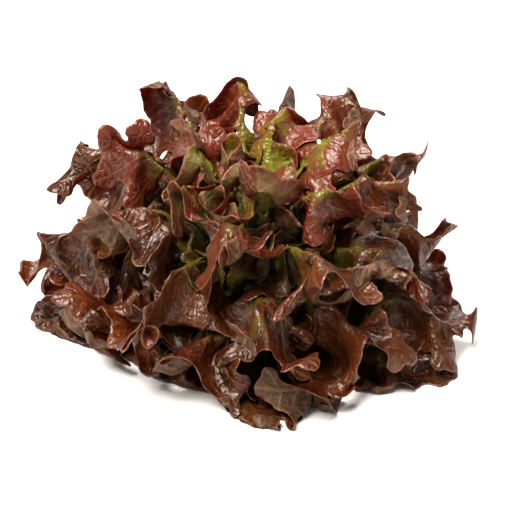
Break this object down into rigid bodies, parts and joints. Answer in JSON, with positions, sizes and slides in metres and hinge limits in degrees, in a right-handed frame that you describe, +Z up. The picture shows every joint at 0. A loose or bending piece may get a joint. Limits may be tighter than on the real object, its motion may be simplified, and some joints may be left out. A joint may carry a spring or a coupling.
{
  "type": "red oak leaf lettuce head",
  "caption": "Head of red oak leaf lettuce: a short cut stem and its rosette of lobed leaves, standing on the cut face and its outer leaves.",
  "frame": {"origin": "centre of the stem's flat cut face, on the surface that the head stands on", "axes": "+Z up along the stem, from the cut face to the heart; -Y is the front, where the leaves lie lowest and the heart shows"},
  "size_m": [0.2742, 0.2798, 0.1487],
  "materials": {
    "red_leaf": "satin",
    "heart_leaf": "satin",
    "stem": "satin"
  },
  "bodies": {
    "root": {"heart_leaf_01": "heart_leaf", "heart_leaf_02": "heart_leaf", "heart_leaf_03": "heart_leaf", "heart_leaf_04": "heart_leaf", "heart_leaf_05": "heart_leaf", "heart_leaf_06": "heart_leaf", "heart_leaf_07": "heart_leaf", "heart_leaf_08": "heart_leaf", "heart_leaf_09": "heart_leaf", "inner_leaf_01": "red_leaf", "inner_leaf_02": "red_leaf", "inner_leaf_03": "red_leaf", "inner_leaf_04": "red_leaf", "inner_leaf_05": "red_leaf", "inner_leaf_06": "red_leaf", "inner_leaf_07": "red_leaf", "inner_leaf_08": "red_leaf", "inner_leaf_09": "red_leaf", "inner_leaf_10": "red_leaf", "inner_leaf_11": "red_leaf", "inner_leaf_12": "red_leaf", "inner_leaf_13": "red_leaf", "middle_leaf_01": "red_leaf", "middle_leaf_02": "red_leaf", "middle_leaf_03": "red_leaf", "middle_leaf_04": "red_leaf", "middle_leaf_05": "red_leaf", "middle_leaf_06": "red_leaf", "middle_leaf_07": "red_leaf", "middle_leaf_08": "red_leaf", "middle_leaf_09": "red_leaf", "middle_leaf_10": "red_leaf", "middle_leaf_11": "red_leaf", "middle_leaf_12": "red_leaf", "middle_leaf_13": "red_leaf", "middle_leaf_14": "red_leaf", "outer_leaf_01": "red_leaf", "outer_leaf_02": "red_leaf", "outer_leaf_03": "red_leaf", "outer_leaf_04": "red_leaf", "outer_leaf_05": "red_leaf", "outer_leaf_06": "red_leaf", "outer_leaf_07": "red_leaf", "outer_leaf_08": "red_leaf", "outer_leaf_09": "red_leaf", "outer_leaf_10": "red_leaf", "outer_leaf_11": "red_leaf", "outer_leaf_12": "red_leaf", "stem": "stem"}
  },
  "joints": []
}
